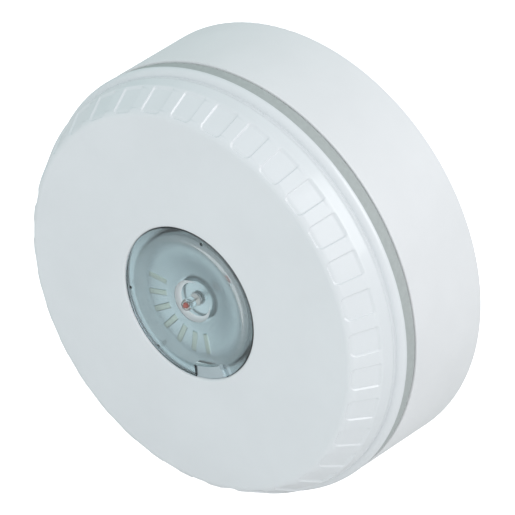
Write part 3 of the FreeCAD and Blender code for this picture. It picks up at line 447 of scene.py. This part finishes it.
WHITE = (0.78, 0.805, 0.815)
# Painted tones on the tray: greenish painted reflection of the board on the ribs, painted light under the
# cup, painted shade under the lens ring.
TRAY_LIGHT_AND_SHADE_TONES = {"rib": (0.52, 0.58, 0.52), "cup": (0.80, 0.90, 0.93), "ring_shade": (0.37, 0.43, 0.45)}
MATERIALS = {
    "white_shell": lambda: moulded("white_shell", WHITE, 0.36, coat=0.35),
    "white_box": lambda: moulded("white_box", (0.82, 0.825, 0.828), 0.5),
    "inner_moulding": lambda: moulded("inner_moulding", (0.62, 0.63, 0.61), 0.55, grain_depth=0.01),
    "clear_lens": lambda: lens_plastic("clear_lens", (0.90, 0.96, 0.97), (0.76, 0.81, 0.82)),
    "clear_lamp": lambda: clear("clear_lamp", (0.93, 0.97, 0.98), 0.01, 1.5),
    "silver_reflector": lambda: silvered("silver_reflector", (0.56, 0.645, 0.675), TRAY_LIGHT_AND_SHADE_TONES, 0.26),
    "red_die": lambda: moulded("red_die", (0.62, 0.16, 0.13), 0.5),
    "grey_seal": lambda: rubber("grey_seal", (0.44, 0.473, 0.46)),
    "pale_silicone": lambda: rubber("pale_silicone", (0.74, 0.78, 0.78), 0.5),
    "black_rubber": lambda: rubber("black_rubber", (0.035, 0.035, 0.037)),
    "circuit_board": lambda: board("circuit_board", (0.02, 0.16, 0.06), (0.05, 0.26, 0.10)),
    "lamp_board": lambda: board("lamp_board", (0.72, 0.73, 0.72), (0.62, 0.63, 0.62)),
    "aluminium": lambda: metal("aluminium", (0.72, 0.73, 0.75), 0.32, (1, 1, 14)),
    "brass": lambda: metal("brass", (0.72, 0.53, 0.24), 0.3, (10, 1, 1)),
    "zinc_steel": lambda: metal("zinc_steel", (0.62, 0.63, 0.64), 0.3),
    "tinned_metal": lambda: metal("tinned_metal", (0.70, 0.70, 0.68), 0.34, (8, 1, 1)),
    "black_plastic": lambda: moulded("black_plastic", (0.03, 0.03, 0.033), 0.45, grain_depth=0.008),
    "red_plastic": lambda: moulded("red_plastic", (0.42, 0.03, 0.025), 0.35),
    "white_lever": lambda: moulded("white_lever", (0.80, 0.80, 0.77), 0.35),
    "terminal_plastic": lambda: moulded("terminal_plastic", (0.05, 0.055, 0.06), 0.5, grain_depth=0.01),
    "catch_plastic": lambda: moulded("catch_plastic", (0.66, 0.65, 0.60), 0.4),
    "can_sleeve": lambda: metal("can_sleeve", (0.60, 0.61, 0.64), 0.25, (1, 12, 1)),
    "ceramic": lambda: moulded("ceramic", (0.38, 0.29, 0.20), 0.6),
    "ferrite": lambda: moulded("ferrite", (0.06, 0.06, 0.065), 0.6, 9000, 0.015),
    "wire_cover": lambda: moulded("wire_cover", (0.45, 0.04, 0.03), 0.4),
}


def dress_frame():
    """Give every CAD node the procedural material of its record slot."""
    materials = {slot: build() for slot, build in MATERIALS.items()}
    for part in frame["record"]["subparts"]:
        material = materials[part["material_slot"]]
        for slot in nodes[part["node"]].material_slots:
            slot.material = material
    return materials


def finish(piece, slot, body, *replaced):
    """Dress a new piece in its slot's material, tie it to its body and hide the nodes it stands for."""
    piece.data.materials.clear()
    piece.data.materials.append(made[slot])
    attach(piece, body)
    if replaced:
        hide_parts(*replaced)


made = dress_frame()


# ---------------------------------------------------------------- head shell

def cap_outside():
    """Outer skin of the cap from the opening to the rim, split where the grip pads start and end."""
    turn = math.degrees(math.atan2(FACE - FACE_ROUND - BEVEL_FOOT[1], BEVEL_FOOT[0] - FACE_END))
    reach = math.hypot(FACE - FACE_ROUND - BEVEL_FOOT[1], BEVEL_FOOT[0] - FACE_END)
    bevel_angle = math.degrees(math.acos(FACE_ROUND / reach)) - turn
    edge = arc(OPENING + 0.6, FACE - 0.6, 0.6, 0.6, 180, 90, 8)
    face = line(edge[-1], (FACE_END, FACE), 12)
    rounding = arc(FACE_END, FACE - FACE_ROUND, FACE_ROUND, FACE_ROUND, 90, bevel_angle, 20)[1:]
    bevel = line(rounding[-1], BEVEL_FOOT, 44)
    wall = line(BEVEL_FOOT, LIP, 10)
    groove = [(GROOVE_RADIUS + 0.1, GROOVE_HIGH + 0.1), (GROOVE_RADIUS, GROOVE_HIGH)]
    groove += [(GROOVE_RADIUS, GROOVE_LOW + 0.1), (GROOVE_RADIUS + 0.1, GROOVE_LOW)]
    bead = arc(BEAD_START, CAP_FOOT + 0.25, RIM - BEAD_START, GROOVE_LOW - CAP_FOOT - 0.25, 90, 0, 14)
    return edge + face, rounding + bevel, wall + groove + bead


def pad_columns():
    """Column angles of the cap, crowded where the pads' sides and corners are."""
    half = PAD_SPAN / 2
    corner = math.degrees(PAD_CORNER / BEVEL_MEAN)
    fine = [half - corner + (corner + 0.2) * step / 15 for step in range(16)]
    offsets = [-x for x in reversed(fine)] + [-half / 4, half / 4] + fine + [(fine[-1] * 2 + 1.5) / 2]
    return [PAD_PHASE + 360.0 * pad / PAD_COUNT + x for pad in range(PAD_COUNT) for x in offsets]


def cap_shell():
    """White face shell whose grip pads are pressed into the bevel."""
    front, padded, foot = cap_outside()
    inner_face = FACE - FACE_WALL
    corner = (CAP_INNER - CAP_INNER_ROUND, inner_face - CAP_INNER_ROUND)
    section = front + padded + foot + [(RIM, CAP_FOOT + 0.1), (RIM - 0.15, CAP_FOOT)]
    section += [(CAP_INNER + 0.2, CAP_FOOT), (CAP_INNER, CAP_FOOT + 0.2)]
    section += arc(*corner, CAP_INNER_ROUND, CAP_INNER_ROUND, 0, 90, 8) + [(OPENING, inner_face)]

    first = len(front)
    along = {}
    length = 0.0
    for row in range(first, first + len(padded)):
        length += math.hypot(section[row][0] - section[row - 1][0], section[row][1] - section[row - 1][1])
        along[row] = length
    start = next(along[row] for row in along if section[row][0] >= PAD_START)
    end = length + PAD_FADE / 3
    middle, half_length = (start + end) / 2, (end - start) / 2
    pitch = 360.0 / PAD_COUNT

    def dent(row, r, z, angle):
        if row not in along:
            return r, z
        away = (angle - PAD_PHASE + pitch / 2) % pitch - pitch / 2
        across = math.radians(abs(away) - PAD_SPAN / 2) * BEVEL_MEAN + PAD_CORNER
        beyond = abs(along[row] - middle) - (half_length - PAD_CORNER)
        outside_corner = math.hypot(max(across, 0), max(beyond, 0)) + min(max(across, beyond), 0)
        depth = PAD_DEPTH * smoothstep(PAD_EDGE, -PAD_EDGE, outside_corner - PAD_CORNER)
        depth *= smoothstep(0, PAD_FADE, length - along[row])
        before, after = section[row - 1], section[row + 1]
        slope_r, slope_z = after[0] - before[0], after[1] - before[1]
        size = math.hypot(slope_r, slope_z)
        return r + depth * slope_z / size, z - depth * slope_r / size

    finish(lathe("cap_shell", section, pad_columns(), dent), "white_shell", "head", "front_cap")


def seal_band():
    """Grey band with a fine groove along each edge, where it meets the cap and the box."""
    inside, step, gap = SKIRT + 0.6, BAND_RADIUS - 1.2, 0.17
    low, high = BAND_LOW + gap, BAND_HIGH - gap
    section = [(inside, BAND_LOW + 0.1), (inside + 0.1, BAND_LOW), (step, BAND_LOW), (step, low)]
    edge = 0.15
    section += arc(BAND_RADIUS - edge, low + edge, edge, edge, 270, 360, 4)
    section += line((BAND_RADIUS, low + edge), (BAND_RADIUS, high - edge), 6)
    section += arc(BAND_RADIUS - edge, high - edge, edge, edge, 0, 90, 4)[1:]
    section += [(step, high), (step, BAND_HIGH), (inside + 0.1, BAND_HIGH), (inside, BAND_HIGH - 0.1)]
    finish(lathe("seal_band", section, evenly(360)), "grey_seal", "seal", "seal_ring")


# ---------------------------------------------------------------- lens, tray and lamp

# Lens: flat ring, dish, cup and the hole for the lamp.
DISH_R = 14.5
RING_Z = 37.8
DISH_TOP = LENS_TOP - 0.1
CUP_R = 4.9
CUP_FLOOR_R = 4.0
CUP_Z = 36.6
CUP_FLOOR_Z = 35.5
LENS_HOLE = 1.34
LENS_GAP = 0.4
LENS_EDGE = OPENING - 0.04
DISH_BANK = 1.1
CREST_BLEND = 0.45
KEY_GAP = 0.15
PEG_RING = 16.6
PEG_ANGLES = (77.4, 187.5, 238.5)

# The silvered tray. A slope is (radius, rise for each millimetre outwards).
TRAY_RIM = OPENING - 0.02
TRAY_SLOPES = ((0.0, 0.0), (4.5, 0.02), (9.0, 0.14), (13.0, 0.12), (14.7, 0.16), (18.0, 0.17))
TRAY_FLOOR = 34.3
TRAY_FOOT_R = 7.8
TRAY_BACK = (15.0, 34.4)
FLANGE_INNER = 16.2
FLANGE_LOW = 33.4
FLANGE_HIGH = 34.9
TRAY_CUP_R = 5.8
TRAY_CUP_Z = 33.7
TRAY_HOLE = 1.36
TRAY_WALL = 0.6
# Band under the lens ring where the silver is painted darker, as painted shade.
RING_SHADE_START = (11.8, 14.6)
RING_SHADE_END = (16.6, 15.8)
KEY_INNER = 15.0
RIB_FIRST = 170.0
RIB_PITCH = 20.0
RIB_COUNT = 7
RIB_INNER = 8.2
RIB_OUTER = 12.8
RIB_WIDTH = 1.3
RIB_RISE = 0.22


def dish_height(r):
    """Front surface of the dish: a shallow bowl between the cup's lip and the ring."""
    share = (r ** 3 - CUP_R ** 3) / (DISH_R ** 3 - CUP_R ** 3)
    return CUP_Z + (DISH_TOP - CUP_Z) * share


def front_height(r):
    """Front of the lens: the dish, the bank down from its crest and the flat ring, blended softly."""
    total = 0.0
    reach = np.linspace(-CREST_BLEND, CREST_BLEND, 9)
    for x in r + reach:
        bank = DISH_TOP - (DISH_TOP - RING_Z) * (x - DISH_R) / DISH_BANK
        total += min(dish_height(x), max(bank, RING_Z))
    return total / len(reach)


def tray_height(r):
    """Silvered front of the tray: a bowl that levels out towards a cone under the lens ring."""
    steps = np.linspace(0, r, 60)
    slopes = np.interp(steps, [at for at, _ in TRAY_SLOPES], [slope for _, slope in TRAY_SLOPES])
    return TRAY_FLOOR + float((slopes[1:] + slopes[:-1]) @ np.diff(steps)) / 2


def lens_shell():
    """Clear lens; its cup wall and the wall of its hole are satin."""
    section = arc(LENS_EDGE - 0.2, RING_Z - 0.2, 0.2, 0.2, 0, 90, 6)
    section += [(r, front_height(r)) for r in np.linspace(LENS_EDGE - 0.5, DISH_R + 1.6, 4)]
    section += [(r, front_height(r)) for r in np.linspace(DISH_R + 1.4, DISH_R - 0.6, 36)]
    section += [(r, dish_height(r)) for r in np.linspace(DISH_R - 0.9, CUP_R + 0.1, 30)]
    lip = dish_height(CUP_R)
    wall_first = len(section)
    section += arc(CUP_FLOOR_R, lip - 0.1, CUP_R - CUP_FLOOR_R, lip - 0.1 - CUP_FLOOR_Z, 0, -90, 14)
    wall_last = len(section) - 1
    section += [(CUP_FLOOR_R - 0.04, CUP_FLOOR_Z), (LENS_HOLE + 0.1, CUP_FLOOR_Z), (LENS_HOLE, CUP_FLOOR_Z)]
    section += [(r, tray_height(r) + LENS_GAP) for r in np.linspace(LENS_HOLE, LENS_EDGE, 40)]
    satin = []

    def mark(row, r, z, angle):
        satin.append(float(wall_first <= row <= wall_last or r < LENS_HOLE + 0.01))
        return r, z

    piece = lathe("lens_shell", section, evenly(288), mark)
    walls = piece.data.attributes.new("satin", "FLOAT", "POINT")
    walls.data.foreach_set("value", satin)
    low, high = KEY_ANGLE - KEY_SPAN / 2 - KEY_GAP, KEY_ANGLE + KEY_SPAN / 2 + KEY_GAP
    inner, outer = KEY_INNER - KEY_GAP, OPENING + 0.3
    notch = [(inner, RING_Z - 3), (outer, RING_Z - 3), (outer, FACE + 1), (inner, FACE + 1)]
    carve(piece, sector("notch", notch, low, high, 32))
    for angle in PEG_ANGLES:
        carve(piece, dimple(angle))
    piece.data.shade_smooth()
    piece.data.set_sharp_from_angle(angle=math.radians(35))
    finish(piece, "clear_lens", "head", "beacon_lens")


def dimple(angle):
    """Cutter for one of the small round marks that the lens pegs leave in its ring."""
    radius, depth = 0.4, 0.5
    section = [(0, RING_Z - depth), (radius - 0.1, RING_Z - depth + 0.05), (radius, RING_Z - depth + 0.2)]
    section += [(radius, RING_Z + 1), (0, RING_Z + 1)]
    cutter = spindle("dimple", section, 24)
    cutter.data.transform(Matrix.Translation(point(PEG_RING, angle, 0)))
    return cutter


def silver_tray():
    """Silvered tray with its seven ribs and the key tab that fills the lens notch."""
    back = TRAY_CUP_Z - TRAY_WALL
    section = [(TRAY_HOLE, back), (TRAY_CUP_R, back), (TRAY_CUP_R, TRAY_LOW)]
    section += [(TRAY_FOOT_R, TRAY_LOW), (TRAY_FOOT_R, back), TRAY_BACK]
    section += [(FLANGE_INNER, FLANGE_LOW), (TRAY_RADIUS, FLANGE_LOW), (TRAY_RADIUS, FLANGE_HIGH)]
    section.append((TRAY_RIM, FLANGE_HIGH))
    first = len(section)
    section += [(r, tray_height(r)) for r in np.linspace(TRAY_RIM, TRAY_HOLE, 120)]
    raised = []
    cup_painted_light = []
    ring_painted_shade = []

    def ribs(row, r, z, angle):
        rise = 0.0
        if row >= first:
            rib = min(RIB_COUNT - 1, max(0, round((angle - RIB_FIRST) / RIB_PITCH)))
            across = abs(math.radians(angle - RIB_FIRST - rib * RIB_PITCH)) * r - RIB_WIDTH / 2
            beyond = abs(r - (RIB_INNER + RIB_OUTER) / 2) - (RIB_OUTER - RIB_INNER) / 2
            rise = smoothstep(0.12, -0.12, max(across, beyond))
        raised.append(rise)
        # Painted light: lighter silver under the cup, so the cup floor reads bright.
        cup_painted_light.append(smoothstep(TRAY_CUP_R, TRAY_CUP_R - 0.8, r))
        # Painted shade: darker silver in a band under the lens ring.
        ring_painted_shade.append(smoothstep(*RING_SHADE_START, r) * smoothstep(*RING_SHADE_END, r))
        return r, z + RIB_RISE * rise

    tray = lathe("tray", section, evenly(1440), ribs)
    # The rib mask paints the raised ribs with a greenish painted reflection of the board.
    for attribute, values in (("rib", raised), ("cup", cup_painted_light), ("ring_shade", ring_painted_shade)):
        tray.data.attributes.new(attribute, "FLOAT", "POINT").data.foreach_set("value", values)
    inner, outer, low = KEY_INNER, TRAY_RIM, RING_Z - 2.2
    block = [(inner, low), (outer, low), (outer, KEY_TOP - 0.1), (outer - 0.1, KEY_TOP)]
    block += [(inner + 0.1, KEY_TOP), (inner, KEY_TOP - 0.1)]
    key = sector("key", block, KEY_ANGLE - KEY_SPAN / 2, KEY_ANGLE + KEY_SPAN / 2, 24)
    finish(weld("silver_tray", [tray, key]), "silver_reflector", "head", "reflector")


def lamp():
    """Clear lamp with its thin post and the small silvered seat under the die."""
    low = LAMP_LOW
    radius = 1.3
    centre = LAMP_TOP - radius
    section = [(0, low), (LAMP_FLANGE - 0.1, low), (LAMP_FLANGE, low + 0.1), (LAMP_FLANGE, low + 0.85)]
    section += [(LAMP_FLANGE - 0.1, low + 0.95), (radius, low + 0.95)]
    section += arc(0, centre, radius, radius, 0, 88, 18)
    section += [(0, LAMP_TOP)]
    finish(spindle("lamp_nose", section, 64), "clear_lamp", "head", "led_body")
    post, seat, carrier, carrier_top = 0.14, 0.45, 1.27, CUP_FLOOR_Z - 0.02
    section = [(0, low + 0.1), (carrier, low + 0.1), (carrier, carrier_top), (post, carrier_top)]
    section += [(post, DIE_LOW - 0.55), (seat - 0.05, DIE_LOW - 0.4)]
    section += [(seat, DIE_LOW - 0.3), (seat, DIE_LOW - 0.02), (0, DIE_LOW - 0.02)]
    finish(spindle("lamp_post", section, 32), "tinned_metal", "head", "led_leadframe")


# ---------------------------------------------------------------- stage

def surround():
    """Soft light from all round, brightest towards the upper right."""
    world = bpy.data.worlds.new("studio")
    world.use_nodes = True
    tree = world.node_tree
    background = tree.nodes["Background"]
    place = tree.nodes.new("ShaderNodeTexCoord")
    channels = tree.nodes.new("ShaderNodeCombineColor")
    for channel, level, slope in zip(("Red", "Green", "Blue"), SURROUND_LEVEL, SURROUND_SLOPE):
        towards = tree.nodes.new("ShaderNodeVectorMath")
        towards.operation = "DOT_PRODUCT"
        towards.inputs[1].default_value = Vector(SURROUND_SIDE).normalized() * slope
        tree.links.new(place.outputs["Generated"], towards.inputs[0])
        total = tree.nodes.new("ShaderNodeMath")
        total.operation = "ADD"
        total.inputs[1].default_value = level
        tree.links.new(towards.outputs["Value"], total.inputs[0])
        tree.links.new(total.outputs["Value"], channels.inputs[channel])
    tree.links.new(channels.outputs["Color"], background.inputs["Color"])
    bpy.context.scene.world = world


def pale_floor():
    """Plain floor that glows white to the camera and faintly to everything else."""
    material, tree, shader, place = new_material("pale_floor")
    tone = ramp(tree, noise(tree, place, 8, 3), [(0.3, (0.59, 0.59, 0.59)), (0.7, (0.61, 0.61, 0.61))])
    tree.links.new(tone, shader.inputs["Base Color"])
    shader.inputs["Roughness"].default_value = 0.9
    shader.inputs["Emission Color"].default_value = (1, 1, 1, 1)
    across = tree.nodes.new("ShaderNodeVectorMath")
    across.operation = "DOT_PRODUCT"
    across.inputs[1].default_value = FLOOR_BRIGHT_SIDE
    tree.links.new(place, across.inputs[0])
    glow = tree.nodes.new("ShaderNodeMapRange")
    glow.interpolation_type = "SMOOTHSTEP"
    glow.inputs["From Min"].default_value = FLOOR_EDGE[0]
    glow.inputs["From Max"].default_value = FLOOR_EDGE[1]
    glow.inputs["To Min"].default_value = FLOOR_BASE
    glow.inputs["To Max"].default_value = FLOOR_GLOW
    tree.links.new(across.outputs["Value"], glow.inputs["Value"])
    ray = tree.nodes.new("ShaderNodeLightPath")
    fill = tree.nodes.new("ShaderNodeMix")
    fill.inputs["B"].default_value = FLOOR_FILL
    tree.links.new(ray.outputs["Is Diffuse Ray"], fill.inputs["Factor"])
    tree.links.new(glow.outputs["Result"], fill.inputs["A"])
    total = tree.nodes.new("ShaderNodeMath")
    total.operation = "ADD"
    tree.links.new(fill.outputs["Result"], total.inputs[0])
    tree.links.new(ray.outputs["Is Camera Ray"], total.inputs[1])
    tree.links.new(total.outputs["Value"], shader.inputs["Emission Strength"])
    return material


def floor():
    """Level floor a little below the part."""
    half, drop = 1.5, CAD_BOX[0][2] - 0.004
    corners = [(-half, -half, drop), (half, -half, drop), (half, half, drop), (-half, half, drop)]
    mesh = bpy.data.meshes.new("floor")
    mesh.from_pydata(corners, [], [(0, 1, 2, 3)])
    mesh.materials.append(pale_floor())
    piece = bpy.data.objects.new("floor", mesh)
    bpy.context.scene.collection.objects.link(piece)


def softbox():
    """Square light at the upper right that only gives sheen to glossy edges."""
    data = bpy.data.lights.new("softbox", "AREA")
    data.size = SOFTBOX_SIZE
    data.energy = SOFTBOX_POWER
    light = bpy.data.objects.new("softbox", data)
    away = Vector(SOFTBOX_SIDE).normalized()
    light.location = away * SOFTBOX_AWAY
    light.rotation_euler = away.to_track_quat("Z", "Y").to_euler()
    light.visible_camera = False
    light.visible_diffuse = False
    light.visible_transmission = False
    bpy.context.scene.collection.objects.link(light)


def camera():
    """A long lens looking down at the lens from the right."""
    azimuth, elevation = math.radians(CAMERA_AZIMUTH), math.radians(CAMERA_ELEVATION)
    back = Vector((math.sin(azimuth) * math.cos(elevation), -math.cos(azimuth) * math.cos(elevation),
                   math.sin(elevation)))
    right = Vector((math.cos(azimuth), math.sin(azimuth), 0))
    up = back.cross(right)
    data = bpy.data.cameras.new("camera")
    data.sensor_width = 36.0
    data.lens = CAMERA_LENS
    data.clip_end = 20.0
    eye = bpy.data.objects.new("camera", data)
    place = point(0, 0, FACE) + back * CAMERA_AWAY + right * CAMERA_RIGHT + up * CAMERA_UP
    eye.matrix_world = Matrix((
        (right.x, up.x, back.x, place.x),
        (right.y, up.y, back.y, place.y),
        (right.z, up.z, back.z, place.z),
        (0, 0, 0, 1),
    ))
    bpy.context.scene.collection.objects.link(eye)
    bpy.context.scene.camera = eye


cap_shell()
seal_band()
lens_shell()
silver_tray()
lamp()
bpy.context.scene.view_settings.view_transform = "Standard"
surround()
floor()
softbox()
camera()
